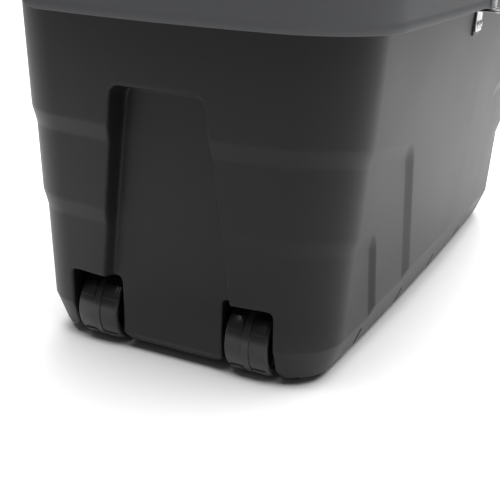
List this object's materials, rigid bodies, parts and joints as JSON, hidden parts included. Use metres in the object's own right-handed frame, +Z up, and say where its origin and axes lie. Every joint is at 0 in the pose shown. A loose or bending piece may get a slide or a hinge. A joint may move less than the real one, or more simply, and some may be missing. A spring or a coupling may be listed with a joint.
{
  "type": "deck storage box",
  "caption": "Wheeled outdoor storage box with stepped moulded walls, an end lifting recess, a hinged lid and padlock lugs.",
  "frame": {"origin": "on the ground under the middle of the closed box, where the wheels and feet stand", "axes": "+X along the box's length, away from the wheeled end; -Y to the front long side with the padlock lugs, +Y to the hinges; +Z up"},
  "size_m": [1.1116, 0.6076, 0.575],
  "materials": {
    "tub_resin": "satin charcoal moulded resin with a fine texture",
    "lid_resin": "satin charcoal moulded resin with a fine texture",
    "wheel_plastic": "black moulded plastic with a soft gloss",
    "foot_rubber": "black moulded rubber",
    "steel": "zinc-plated steel"
  },
  "bodies": {
    "tub": {"tub": "tub_resin", "foot_left": "foot_rubber", "foot_right": "foot_rubber", "axle_left": "steel", "axle_right": "steel", "axle_clips": "steel", "axle_washers": "steel", "hinge_plate_left": "tub_resin", "hinge_plate_right": "tub_resin", "hinge_plate_screws": "steel", "hinge_pin_left": "steel", "hinge_pin_right": "steel", "tub_lug": "steel", "tub_lug_screws": "steel"},
    "lid": {"lid_shell": "lid_resin", "lid_liner": "lid_resin", "liner_screws": "steel", "hinge_arm_left": "lid_resin", "hinge_arm_right": "lid_resin", "hinge_arm_screws": "steel", "lid_lug": "steel", "lid_lug_screws": "steel"},
    "wheel_left": {"wheel_left_hub": "wheel_plastic", "wheel_left_tyre": "wheel_plastic"},
    "wheel_right": {"wheel_right_hub": "wheel_plastic", "wheel_right_tyre": "wheel_plastic"}
  },
  "joints": [
    {"name": "lid_hinge", "type": "hinge", "parent": "tub", "child": "lid", "pos_m": [0, 0.2958, 0.497], "axis": [-1, 0, 0], "range_deg": [0, 100]},
    {"name": "wheel_left_spin", "type": "hinge", "parent": "tub", "child": "wheel_left", "pos_m": [-0.44, 0.117, 0.052], "axis": [0, 1, 0], "continuous": true},
    {"name": "wheel_right_spin", "type": "hinge", "parent": "tub", "child": "wheel_right", "pos_m": [-0.44, -0.117, 0.052], "axis": [0, 1, 0], "continuous": true}
  ]
}
